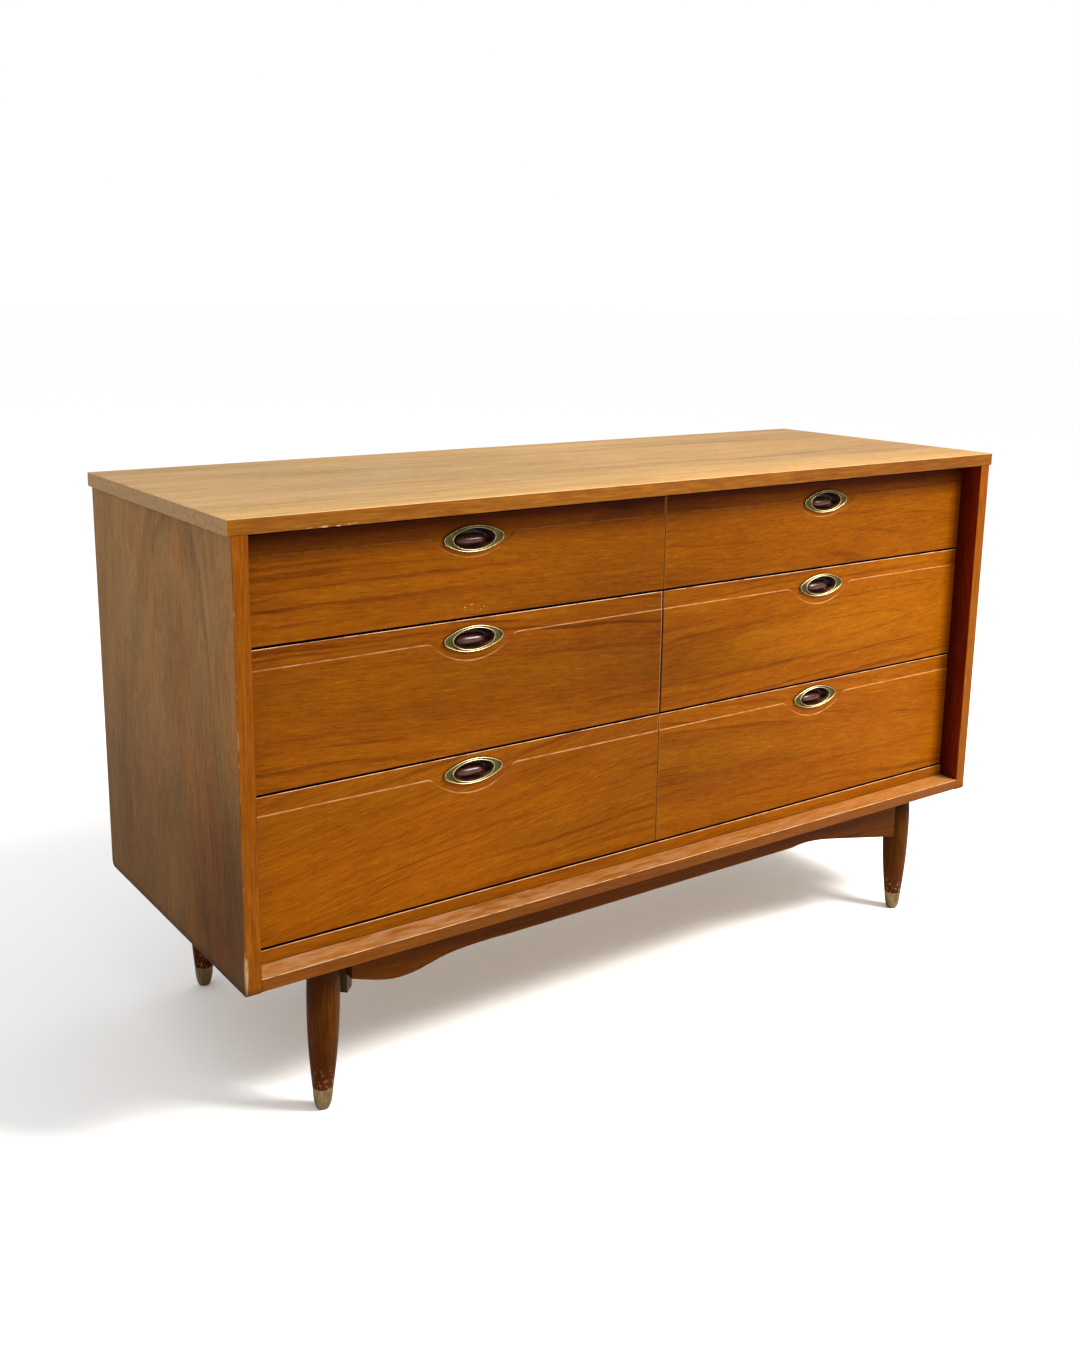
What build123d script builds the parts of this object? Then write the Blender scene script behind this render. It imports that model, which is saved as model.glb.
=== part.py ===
from build123d import *
import os
from math import asin, degrees, sqrt

# A six-drawer double dresser in walnut, on four turned legs.
# Millimetres.  Origin on the floor, midway across the width and depth.
# +X runs along the width to the viewer's right, the drawer fronts face -Y, +Z is up.

# ---------------------------------------------------------------- driving dimensions
WIDTH = 1320.0              # over the ends of the top
DEPTH = 472.0
HEIGHT = 775.0

TOP_THICK = 19.0
TOP_OVERHANG = 5.1          # past each side panel
SIDE_THICK = 20.5
SIDE_BOTTOM = 203.2         # lower edge of the side panels above the floor
FLOOR_BOARD_BOTTOM = 205.5  # underside of the case floor, where the legs start
FLOOR_BOARD_THICK = 16.4
FACE_SETBACK = 35.3         # drawer faces behind the front edges of the case
LEDGE_DEPTH = 50.0          # solid front strip of the case floor
PARTITION_THICK = 20.0
BACK_PANEL_THICK = 5.0
BACK_PANEL_INSET = 1.0
RABBET = 9.5                # step in the side panels that takes the back panel
EASE = 1.2                  # broken edges of the show wood
CORNER_ROUND = 10.0         # lower back corners of the side panels
FRONT_CORNER_ROUND = 4.5    # and their lower front corners

FRONT_THICK = 19.0
FRONT_GAP = 3.0             # between stacked drawer fronts
MIDDLE_GAP = 2.0            # between the left and right drawer fronts
END_GAP = 1.5               # between a drawer front and its side panel
ROW_GAPS = (615.6, 435.8, 241.0)        # middle of the gap under each row, top row first
TOP_ROW_TOP = 748.0
GROOVE_HEIGHTS = (722.6, 588.2, 409.8)  # routed line across each row
PULL_HEIGHTS = (718.0, 588.6, 411.2)
PULL_X = 315.5
STEP_DEPTH = 1.5            # the band above the routed line lies this much lower
DIP_RADIUS = 86.5           # the line dips under each pull on this arc
DIP_DROP = 28.7
DIP_FILLET = 15.0

PULL_LENGTH = 90.0
PULL_HEIGHT = 34.5
PULL_TIP_RADIUS = 6.5
PULL_THICK = 4.0
PULL_OPENING = (62.0, 27.0)
CUP_FIT = 0.4               # clearance of the cup in the front, all round
CUP_WALL = 1.6
CUP_DEPTH = 14.0
GRIP_THICK = 5.0
GRIP_RADIUS = 3.0
PRONG_RADIUS = 1.5
PRONG_LENGTH = 8.0

WEB_THICK = 16.0            # rails of the two web frames between the rows
WEB_RAIL_WIDTH = 55.0
BOTTOM_RAIL_HEIGHT = 17.6   # visible strip under the lowest drawers
BOTTOM_FRAME_THICK = 22.1
RUNNER_WIDTH = 32.0
GUIDE_WIDTH = 22.0
GUIDE_HEIGHT = 9.0
STRETCHER_THICK = 20.0
STRETCHER_WIDTH = 60.0

RUN_CLEARANCE = 0.6         # under the drawer sides
SIDE_CLEARANCE = 3.2        # beside the drawer boxes
BOX_WALL = 12.0
BOX_HEAD_ROOM = 7.6         # above the drawer boxes
BOX_LENGTH = 392.0          # drawer box behind its front
BOX_BOTTOM_THICK = 5.0
BOX_BOTTOM_RISE = 12.5      # drawer bottom above the lower edges of its sides
GROOVE_BITE = 5.0           # how far the drawer bottom enters its grooves
GROOVE_SLACK = 0.3

LEG_TOP_X = 534.5           # leg axes at the case floor
LEG_FOOT_X = 539.5          # and at the floor
LEG_Y = 196.0
FERRULE_WALL = 0.9
LEG_PROFILE = ((17.0, 205.5), (19.9, 193.0), (21.2, 168.0), (21.0, 143.0), (19.2, 94.0), (15.8, 52.0),
               (13.6, 30.5))
FERRULE_PROFILE = ((13.6, 30.5), (12.7, 20.0), (11.3, 10.0), (9.6, 4.0), (7.6, 0.0))
LEG_STUD_RADIUS = 4.0
LEG_STUD_LENGTH = 60.0
STUD_IN_CASE = 12.0

APRON_THICK = 18.0
APRON_FACE_Y = -214.0
APRON_ENDS = (-504.0, 510.0)
# lower edge of the front apron, left to right: a round lobe near the left leg,
# a long straight middle, and a deeper wing at the right leg
APRON_LEFT_EDGE = ((-504.0, 175.5), (-478.0, 166.8), (-446.0, 159.2), (-410.0, 160.4),
                   (-371.0, 169.3), (-334.0, 173.2), (-270.0, 173.4))
APRON_RIGHT_EDGE = ((270.0, 174.6), (318.0, 175.8), (360.0, 169.6), (403.0, 161.1),
                    (455.0, 151.0), (510.0, 140.2))
BACK_RAIL_HEIGHT = 45.0
BASE_RAIL_HEIGHT = 33.0
LEG_CLEARANCE = 0.4
BLOCK_LENGTH = 48.6
BLOCK_THICK = 20.0
BLOCK_HEIGHT = 57.5
BLOCK_TO_LEG = 24.3         # from a leg's axis to the near face of its corner block

NAIL_RADIUS = 1.0
NAIL_HEAD_RADIUS = 2.6
NAIL_HEAD_THICK = 0.8
NAIL_LENGTH = 14.0
NAIL_COUNT_ACROSS = 8
NAIL_COUNT_UP = 4

# ---------------------------------------------------------------- worked-out places
FRONT_Y = -DEPTH / 2
BACK_Y = DEPTH / 2
FACE_Y = FRONT_Y + FACE_SETBACK
BAND_Y = FACE_Y + STEP_DEPTH
FRONT_BACK_Y = FACE_Y + FRONT_THICK
TOP_UNDERSIDE = HEIGHT - TOP_THICK
FLOOR_BOARD_TOP = FLOOR_BOARD_BOTTOM + FLOOR_BOARD_THICK
SIDE_OUTER_X = WIDTH / 2 - TOP_OVERHANG
SIDE_INNER_X = SIDE_OUTER_X - SIDE_THICK
BACK_PANEL_BACK_Y = BACK_Y - BACK_PANEL_INSET
BACK_PANEL_FRONT_Y = BACK_PANEL_BACK_Y - BACK_PANEL_THICK
RAIL_FRONT_Y = FRONT_BACK_Y + 1.0
BAY_LEFT_X = PARTITION_THICK / 2
BAY_WIDTH = SIDE_INNER_X - BAY_LEFT_X
BAY_CENTRE_X = BAY_LEFT_X + BAY_WIDTH / 2
BOX_BACK_Y = FRONT_BACK_Y + BOX_LENGTH
BOX_OUTER_WIDTH = BAY_WIDTH - 2 * SIDE_CLEARANCE
ROW_TOPS = (TOP_ROW_TOP, ROW_GAPS[0] - FRONT_GAP / 2, ROW_GAPS[1] - FRONT_GAP / 2)
ROW_BOTTOMS = tuple(gap + FRONT_GAP / 2 for gap in ROW_GAPS)
DECKS = (ROW_GAPS[0] + WEB_THICK / 2, ROW_GAPS[1] + WEB_THICK / 2, FLOOR_BOARD_TOP + BOTTOM_FRAME_THICK)
CEILINGS = (TOP_UNDERSIDE - STRETCHER_THICK, ROW_GAPS[0] - WEB_THICK / 2, ROW_GAPS[1] - WEB_THICK / 2)
ROW_NAMES = ("top", "middle", "bottom")
COLUMNS = (("left", -1), ("right", 1))


def board(x0, x1, y0, y1, z0, z1):
    """A straight board between two opposite corners."""
    centre = Pos((x0 + x1) / 2, (y0 + y1) / 2, (z0 + z1) / 2)
    return centre * Box(x1 - x0, y1 - y0, z1 - z0)


def save(name, *solids):
    """Write one node; a group of separate solids shares the node."""
    shape = solids[0] if len(solids) == 1 else Compound(list(solids))
    export_step(shape, f"parts/{name}.step")


def facing(sketch, y):
    """Stand a flat outline (x, z) upright at depth y, extruding towards the back."""
    return Plane((0, y, 0), x_dir=(1, 0, 0), z_dir=(0, -1, 0)) * sketch


# ---------------------------------------------------------------- case
def top_panel():
    slab = board(-WIDTH / 2, WIDTH / 2, FRONT_Y, BACK_Y, TOP_UNDERSIDE, HEIGHT)
    return fillet(slab.edges(), EASE)


def side_panel(side):
    """One end of the case, rounded at its two lower corners, rabbeted for the back panel."""
    x0, x1 = sorted((side * SIDE_INNER_X, side * SIDE_OUTER_X))
    panel = board(x0, x1, FRONT_Y, BACK_Y, SIDE_BOTTOM, TOP_UNDERSIDE)
    lower = panel.edges().filter_by(Axis.X).group_by(Axis.Z)[0].sort_by(Axis.Y)
    panel = fillet(lower[-1], CORNER_ROUND)
    lower_front = panel.edges().filter_by(Axis.X).group_by(Axis.Z)[0].sort_by(Axis.Y)[0]
    panel = fillet(lower_front, FRONT_CORNER_ROUND)
    front_edges = panel.faces().sort_by(Axis.Y)[0].edges().filter_by(Axis.Z)
    panel = fillet(front_edges, EASE)
    step_x0, step_x1 = sorted((side * (SIDE_INNER_X - 1), side * (SIDE_INNER_X + RABBET)))
    step = board(step_x0, step_x1, BACK_PANEL_FRONT_Y, BACK_Y + 1, FLOOR_BOARD_BOTTOM, HEIGHT)
    return panel - step


def centre_partition():
    return board(-BAY_LEFT_X, BAY_LEFT_X, RAIL_FRONT_Y, BACK_PANEL_FRONT_Y, FLOOR_BOARD_TOP, TOP_UNDERSIDE)


def front_ledge():
    """Solid front strip of the case floor, showing below the drawers."""
    strip = board(-SIDE_INNER_X, SIDE_INNER_X, FRONT_Y, FRONT_Y + LEDGE_DEPTH,
                  FLOOR_BOARD_BOTTOM, FLOOR_BOARD_TOP)
    front_edges = strip.faces().sort_by(Axis.Y)[0].edges().filter_by(Axis.X)
    return fillet(front_edges, EASE)


def floor_board():
    return board(-SIDE_INNER_X, SIDE_INNER_X, FRONT_Y + LEDGE_DEPTH, BACK_PANEL_FRONT_Y,
                 FLOOR_BOARD_BOTTOM, FLOOR_BOARD_TOP)


def back_panel():
    edge = SIDE_INNER_X + RABBET - 0.5
    return board(-edge, edge, BACK_PANEL_FRONT_Y, BACK_PANEL_BACK_Y, FLOOR_BOARD_BOTTOM, TOP_UNDERSIDE)


def back_panel_nails():
    """Round-headed nails near the edge of the back panel, driven into the case."""
    spots = []
    row_x = SIDE_INNER_X - 30
    rows_z = (FLOOR_BOARD_BOTTOM + FLOOR_BOARD_THICK / 2, TOP_UNDERSIDE - STRETCHER_THICK / 2)
    for z in rows_z:
        for i in range(NAIL_COUNT_ACROSS):
            spots.append((-row_x + 2 * row_x * (i + 0.5) / NAIL_COUNT_ACROSS, z))
    height = rows_z[1] - rows_z[0]
    for x in (-SIDE_INNER_X - RABBET / 2, SIDE_INNER_X + RABBET / 2):
        for i in range(NAIL_COUNT_UP):
            spots.append((x, rows_z[0] + height * (i + 0.5) / NAIL_COUNT_UP))
    shank = Pos(0, 0, -NAIL_LENGTH / 2) * Cylinder(NAIL_RADIUS, NAIL_LENGTH)
    head = Pos(0, 0, NAIL_HEAD_THICK / 2) * Cylinder(NAIL_HEAD_RADIUS, NAIL_HEAD_THICK)
    nail = Rot(-90, 0, 0) * (shank + head)
    return [Pos(x, BACK_PANEL_BACK_Y, z) * nail for x, z in spots]


def top_stretchers():
    """Front and back cross rails that carry the top, cut by the partition."""
    rails = []
    for y0 in (RAIL_FRONT_Y, BACK_PANEL_FRONT_Y - STRETCHER_WIDTH):
        for side in (-1, 1):
            x0, x1 = sorted((side * BAY_LEFT_X, side * SIDE_INNER_X))
            rails.append(board(x0, x1, y0, y0 + STRETCHER_WIDTH, TOP_UNDERSIDE - STRETCHER_THICK, TOP_UNDERSIDE))
    return rails


def web_rails(gap):
    """Front and back rails of one web frame, in both bays."""
    rails = []
    for y0 in (RAIL_FRONT_Y, BACK_PANEL_FRONT_Y - WEB_RAIL_WIDTH):
        for side in (-1, 1):
            x0, x1 = sorted((side * BAY_LEFT_X, side * SIDE_INNER_X))
            rails.append(board(x0, x1, y0, y0 + WEB_RAIL_WIDTH, gap - WEB_THICK / 2, gap + WEB_THICK / 2))
    return rails


def bottom_rail():
    """The strip that shows between the ledge and the lowest drawers."""
    rail = board(-SIDE_INNER_X, SIDE_INNER_X, FACE_Y, FRONT_BACK_Y,
                 FLOOR_BOARD_TOP, FLOOR_BOARD_TOP + BOTTOM_RAIL_HEIGHT)
    return fillet(rail.edges().filter_by(Axis.X).group_by(Axis.Z)[1].sort_by(Axis.Y)[0], EASE)


def drawer_runners():
    """Two strips under the sides of every drawer."""
    runners = []
    for row, deck in enumerate(DECKS):
        lowest = row == len(DECKS) - 1
        y0 = RAIL_FRONT_Y if lowest else RAIL_FRONT_Y + WEB_RAIL_WIDTH
        y1 = BACK_PANEL_FRONT_Y if lowest else BACK_PANEL_FRONT_Y - WEB_RAIL_WIDTH
        z0 = deck - (BOTTOM_FRAME_THICK if lowest else WEB_THICK)
        for near in (BAY_LEFT_X, SIDE_INNER_X - RUNNER_WIDTH):
            for side in (-1, 1):
                x0, x1 = sorted((side * near, side * (near + RUNNER_WIDTH)))
                runners.append(board(x0, x1, y0, y1, z0, deck))
    return runners


def drawer_guides():
    """A centre strip on each web frame, which the notch in the drawer back rides over."""
    guides = []
    for row, deck in enumerate(DECKS):
        lowest = row == len(DECKS) - 1
        z0 = FLOOR_BOARD_TOP if lowest else deck
        for side in (-1, 1):
            x = side * BAY_CENTRE_X
            guides.append(board(x - GUIDE_WIDTH / 2, x + GUIDE_WIDTH / 2,
                                RAIL_FRONT_Y, BACK_PANEL_FRONT_Y, z0, deck + GUIDE_HEIGHT))
    return guides


# ---------------------------------------------------------------- base
def turned_leg(profile):
    """Solid of revolution through (radius, height) points, closed on the axis."""
    curve = Spline(profile)
    high = profile[0]
    low = profile[-1]
    outline = curve + Polyline((low[0], low[1]), (0, low[1]), (0, high[1]), (high[0], high[1]))
    face = make_face(Plane.XZ * outline)
    return revolve(face, Axis.Z)


def leg_place(side, end):
    """Stand a leg made on the Z axis at its corner, leaning outward from the case floor."""
    lean = degrees(asin((LEG_FOOT_X - LEG_TOP_X) / FLOOR_BOARD_BOTTOM))
    return Pos(side * LEG_FOOT_X, end * LEG_Y, 0) * Rot(0, -side * lean, 0)


def between_floor_and_case(shape):
    """Trim a leaning leg or ferrule level at the floor and at the case floor."""
    space = board(-WIDTH / 2, WIDTH / 2, FRONT_Y, BACK_Y, 0, FLOOR_BOARD_BOTTOM)
    return shape & space


def ferrule_inside():
    """(radius, height) points of the wooden tip inside the ferrule, one wall in."""
    return [(r - FERRULE_WALL, max(z, FERRULE_WALL + 0.6)) for r, z in FERRULE_PROFILE]


def leg(side, end):
    """Turned leg with a shouldered tip that fills the ferrule."""
    body = turned_leg(((LEG_PROFILE[0][0] - 0.2, LEG_PROFILE[0][1] + 2.0),) + LEG_PROFILE[1:])
    tip = turned_leg(ferrule_inside())
    return between_floor_and_case(leg_place(side, end) * (body + tip))


def ferrule(side, end):
    """Thin metal cup over the tip of a leg."""
    outside = turned_leg(FERRULE_PROFILE)
    cup = outside - turned_leg(ferrule_inside())
    sole_radius = FERRULE_PROFILE[-1][0]
    sole = Pos(0, 0, -0.5) * Cylinder(sole_radius, 1.0)
    return between_floor_and_case(leg_place(side, end) * (cup + sole))


def leg_stud(side, end):
    """Threaded stud from the top of a leg into the case floor."""
    foot = FLOOR_BOARD_BOTTOM + STUD_IN_CASE - LEG_STUD_LENGTH / 2
    return leg_place(side, end) * Pos(0, 0, foot) * Cylinder(LEG_STUD_RADIUS, LEG_STUD_LENGTH)


def front_apron():
    """Shaped board under the ledge; its two ends aren't alike."""
    left = Spline(APRON_LEFT_EDGE)
    right = Spline(APRON_RIGHT_EDGE)
    middle = Line(APRON_LEFT_EDGE[-1], APRON_RIGHT_EDGE[0])
    top = Polyline(APRON_RIGHT_EDGE[-1], (APRON_ENDS[1], FLOOR_BOARD_BOTTOM),
                   (APRON_ENDS[0], FLOOR_BOARD_BOTTOM), APRON_LEFT_EDGE[0])
    outline = make_face(left + middle + right + top)
    return extrude(facing(outline, APRON_FACE_Y), -APRON_THICK)


def back_rail():
    """Plain rail between the two back legs."""
    front_y = -APRON_FACE_Y - APRON_THICK
    return board(APRON_ENDS[0], -APRON_ENDS[0], front_y, front_y + APRON_THICK,
                 FLOOR_BOARD_BOTTOM - BACK_RAIL_HEIGHT, FLOOR_BOARD_BOTTOM)


def base_side_rail(side):
    """Plain rail from front leg to back leg."""
    reach = LEG_Y - LEG_PROFILE[2][0] - LEG_CLEARANCE
    x0, x1 = sorted((side * (LEG_TOP_X + 2), side * (LEG_TOP_X + 2 + APRON_THICK)))
    return board(x0, x1, -reach, reach, FLOOR_BOARD_BOTTOM - BASE_RAIL_HEIGHT, FLOOR_BOARD_BOTTOM)


def corner_block(side, end):
    """Diagonal glue block on the inner side of a leg."""
    block = Box(BLOCK_THICK, BLOCK_LENGTH, BLOCK_HEIGHT)
    inward = (BLOCK_TO_LEG + BLOCK_THICK / 2) / sqrt(2)
    x = side * (LEG_TOP_X + 2 - inward)
    y = end * (LEG_Y - inward)
    turn = 45 * side * end
    return Pos(x, y, FLOOR_BOARD_BOTTOM - BLOCK_HEIGHT / 2) * Rot(0, 0, turn) * block


# ---------------------------------------------------------------- drawers
def pull_outline():
    """Long oval of four arcs with narrow rounded ends, centred on (0, 0)."""
    a = PULL_LENGTH / 2
    b = PULL_HEIGHT / 2
    tip = PULL_TIP_RADIUS
    flank = (a * a + b * b - 2 * a * tip) / (2 * (b - tip))
    tip_x = a - tip
    reach = sqrt(tip_x ** 2 + (flank - b) ** 2)
    join_x = tip_x + tip * tip_x / reach
    join_z = tip * (flank - b) / reach
    upper = ThreePointArc((-join_x, join_z), (0, b), (join_x, join_z))
    right = ThreePointArc((join_x, join_z), (a, 0), (join_x, -join_z))
    lower = ThreePointArc((join_x, -join_z), (0, -b), (-join_x, -join_z))
    left = ThreePointArc((-join_x, -join_z), (-a, 0), (-join_x, join_z))
    return make_face(upper + right + lower + left)


def opening_ellipse(shrink=0.0):
    return Ellipse(PULL_OPENING[0] / 2 - shrink, PULL_OPENING[1] / 2 - shrink)


def drawer_front(row, side):
    """Front with a routed step that dips under the pull, and a pocket for the cup."""
    x0, x1 = sorted((side * MIDDLE_GAP / 2, side * (SIDE_INNER_X - END_GAP)))
    z0 = ROW_BOTTOMS[row]
    z1 = ROW_TOPS[row]
    front = board(x0, x1, FACE_Y, FRONT_BACK_Y, z0, z1)
    front = fillet(front.faces().sort_by(Axis.Y)[0].edges(), EASE)

    groove = GROOVE_HEIGHTS[row]
    pull_x = side * PULL_X
    past = 40.0
    band = Pos((x0 + x1) / 2, groove + past) * Rectangle(x1 - x0 + 2 * past, 2 * past)
    dip = Pos(pull_x, groove + DIP_RADIUS - DIP_DROP) * Circle(DIP_RADIUS)
    dip = dip & (Pos(pull_x, groove) * Rectangle(2 * DIP_RADIUS, 2 * past))
    region = band + dip
    corners = [v for v in region.vertices() if abs(v.Y - groove) < 0.01 and abs(v.X - pull_x) < DIP_RADIUS]
    region = fillet(corners, DIP_FILLET)
    front -= extrude(facing(region, FACE_Y), -STEP_DEPTH, taper=40)

    pocket = Pos(pull_x, PULL_HEIGHTS[row]) * opening_ellipse()
    front -= extrude(facing(pocket, FACE_Y), -(STEP_DEPTH + CUP_DEPTH + CUP_FIT))

    deck = DECKS[row]
    slot_z = deck + RUN_CLEARANCE + BOX_BOTTOM_RISE
    half = BOX_OUTER_WIDTH / 2 - BOX_WALL + GROOVE_BITE + GROOVE_SLACK
    centre = side * BAY_CENTRE_X
    slot = board(centre - half, centre + half, FRONT_BACK_Y - GROOVE_BITE - GROOVE_SLACK, FRONT_BACK_Y + 1,
                 slot_z - GROOVE_SLACK, slot_z + BOX_BOTTOM_THICK + GROOVE_SLACK)
    return front - slot


def box_heights(row):
    """Lower and upper edge of the drawer box of a row."""
    return DECKS[row] + RUN_CLEARANCE, CEILINGS[row] - BOX_HEAD_ROOM


def box_sides(row, side):
    """The two sides of a drawer box, grooved for its bottom."""
    z0, z1 = box_heights(row)
    centre = side * BAY_CENTRE_X
    slot_z = z0 + BOX_BOTTOM_RISE
    sides = []
    for hand in (-1, 1):
        outer = centre + hand * BOX_OUTER_WIDTH / 2
        inner = outer - hand * BOX_WALL
        x0, x1 = sorted((outer, inner))
        wall = board(x0, x1, FRONT_BACK_Y, BOX_BACK_Y, z0, z1)
        deep = inner + hand * (GROOVE_BITE + GROOVE_SLACK)
        slot_x0, slot_x1 = sorted((inner - hand, deep))
        slot = board(slot_x0, slot_x1, FRONT_BACK_Y - 1, BOX_BACK_Y - BOX_WALL + GROOVE_BITE + GROOVE_SLACK,
                     slot_z - GROOVE_SLACK, slot_z + BOX_BOTTOM_THICK + GROOVE_SLACK)
        sides.append(wall - slot)
    return sides


def box_back(row, side):
    """Back of a drawer box, grooved for its bottom and notched over the guide strip."""
    z0, z1 = box_heights(row)
    centre = side * BAY_CENTRE_X
    half = BOX_OUTER_WIDTH / 2 - BOX_WALL
    back = board(centre - half, centre + half, BOX_BACK_Y - BOX_WALL, BOX_BACK_Y, z0, z1)
    slot_z = z0 + BOX_BOTTOM_RISE
    back -= board(centre - half - 1, centre + half + 1, BOX_BACK_Y - BOX_WALL - 1,
                  BOX_BACK_Y - BOX_WALL + GROOVE_BITE + GROOVE_SLACK,
                  slot_z - GROOVE_SLACK, slot_z + BOX_BOTTOM_THICK + GROOVE_SLACK)
    notch = GUIDE_WIDTH / 2 + 1.0
    return back - board(centre - notch, centre + notch, BOX_BACK_Y - BOX_WALL - 1, BOX_BACK_Y + 1,
                        z0 - 1, DECKS[row] + GUIDE_HEIGHT + 1.0)


def box_bottom(row, side):
    """Thin bottom that lies in the grooves of the front, sides and back."""
    z0, _ = box_heights(row)
    centre = side * BAY_CENTRE_X
    half = BOX_OUTER_WIDTH / 2 - BOX_WALL + GROOVE_BITE
    low = z0 + BOX_BOTTOM_RISE
    return board(centre - half, centre + half, FRONT_BACK_Y - GROOVE_BITE, BOX_BACK_Y - BOX_WALL + GROOVE_BITE,
                 low, low + BOX_BOTTOM_THICK)


def pull_bezel(row, side):
    """Brass eye-shaped frame round the finger cup, with two prongs driven into the front."""
    plate = extrude(pull_outline(), PULL_THICK)
    plate = fillet(plate.faces().sort_by(Axis.Z)[-1].edges(), EASE)
    plate -= extrude(opening_ellipse(), PULL_THICK)
    prong_x = (PULL_LENGTH + PULL_OPENING[0]) / 4
    for hand in (-1, 1):
        plate += Pos(hand * prong_x, 0, -PRONG_LENGTH / 2) * Cylinder(PRONG_RADIUS, PRONG_LENGTH)
    return Pos(side * PULL_X, BAND_Y, PULL_HEIGHTS[row]) * Rot(90, 0, 0) * plate


def pull_cup(row, side):
    """Cup behind the frame: open above, a rolled grip across its lower half."""
    outer = extrude(opening_ellipse(CUP_FIT), -CUP_DEPTH)
    hollow = extrude(opening_ellipse(CUP_FIT + CUP_WALL), -(CUP_DEPTH - CUP_WALL))
    grip = Pos(0, -PULL_OPENING[1] / 4 - GRIP_RADIUS / 2, -GRIP_THICK / 2)
    grip = grip * Box(PULL_OPENING[0], PULL_OPENING[1] / 2 + GRIP_RADIUS, GRIP_THICK)
    crest = grip.edges().filter_by(Axis.X).group_by(Axis.Y)[-1]
    grip = fillet(crest, GRIP_THICK / 2 - 0.1) & outer
    cup = outer - hollow + grip
    return Pos(side * PULL_X, BAND_Y, PULL_HEIGHTS[row]) * Rot(90, 0, 0) * cup


def build_case():
    save("top_panel", top_panel())
    for name, side in COLUMNS:
        save(f"side_panel_{name}", side_panel(side))
    save("centre_partition", centre_partition())
    save("front_ledge", front_ledge())
    save("floor_board", floor_board())
    save("back_panel", back_panel())
    save("back_panel_nails", *back_panel_nails())
    save("top_stretchers", *top_stretchers())
    save("upper_web_rails", *web_rails(ROW_GAPS[0]))
    save("lower_web_rails", *web_rails(ROW_GAPS[1]))
    save("bottom_rail", bottom_rail())
    save("drawer_runners", *drawer_runners())
    save("drawer_guides", *drawer_guides())


def build_base():
    corners = [(name, side, where, end) for name, side in COLUMNS for where, end in (("front", -1), ("back", 1))]
    for name, side, where, end in corners:
        save(f"leg_{where}_{name}", leg(side, end))
    save("leg_ferrules", *[ferrule(side, end) for _, side, _, end in corners])
    save("leg_studs", *[leg_stud(side, end) for _, side, _, end in corners])
    save("corner_blocks", *[corner_block(side, end) for _, side, _, end in corners])
    save("front_apron", front_apron())
    save("back_rail", back_rail())
    save("base_side_rails", *[base_side_rail(side) for _, side in COLUMNS])


def build_drawers():
    for row, row_name in enumerate(ROW_NAMES):
        for name, side in COLUMNS:
            label = f"{row_name}_{name}"
            save(f"drawer_front_{label}", drawer_front(row, side))
            save(f"drawer_sides_{label}", *box_sides(row, side))
            save(f"drawer_back_{label}", box_back(row, side))
            save(f"drawer_bottom_{label}", box_bottom(row, side))
            save(f"pull_bezel_{label}", pull_bezel(row, side))
            save(f"pull_cup_{label}", pull_cup(row, side))


os.makedirs("parts", exist_ok=True)
build_case()
build_base()
build_drawers()
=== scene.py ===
import math

import bpy
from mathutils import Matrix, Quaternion, Vector


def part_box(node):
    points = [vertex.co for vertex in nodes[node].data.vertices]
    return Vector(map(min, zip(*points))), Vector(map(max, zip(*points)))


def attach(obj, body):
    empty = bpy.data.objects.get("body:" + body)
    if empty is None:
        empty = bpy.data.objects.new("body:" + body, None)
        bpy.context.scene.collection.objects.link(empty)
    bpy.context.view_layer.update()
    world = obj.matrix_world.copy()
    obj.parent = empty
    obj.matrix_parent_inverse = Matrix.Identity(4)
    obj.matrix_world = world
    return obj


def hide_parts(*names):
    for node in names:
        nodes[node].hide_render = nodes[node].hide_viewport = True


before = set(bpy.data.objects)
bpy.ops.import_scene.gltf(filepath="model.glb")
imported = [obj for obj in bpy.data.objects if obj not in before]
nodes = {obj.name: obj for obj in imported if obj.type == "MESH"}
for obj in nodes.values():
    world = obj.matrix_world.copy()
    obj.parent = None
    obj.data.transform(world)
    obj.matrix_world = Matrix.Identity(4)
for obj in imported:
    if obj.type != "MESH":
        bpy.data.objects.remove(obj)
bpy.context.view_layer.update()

# A walnut double dresser.  Metres.  The CAD nodes keep their shapes and get their finishes here;
# the pulls are built again in full detail.

ROWS = ("top", "middle", "bottom")
COLUMNS = ("left", "right")
MM = 0.001


# ---------------------------------------------------------------- places taken from the frame
TOP_LOW, TOP_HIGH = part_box("top_panel")
SIDE_LOW, SIDE_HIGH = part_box("side_panel_left")
RIGHT_LOW, RIGHT_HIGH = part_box("side_panel_right")
LEDGE_LOW, LEDGE_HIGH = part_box("front_ledge")


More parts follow.
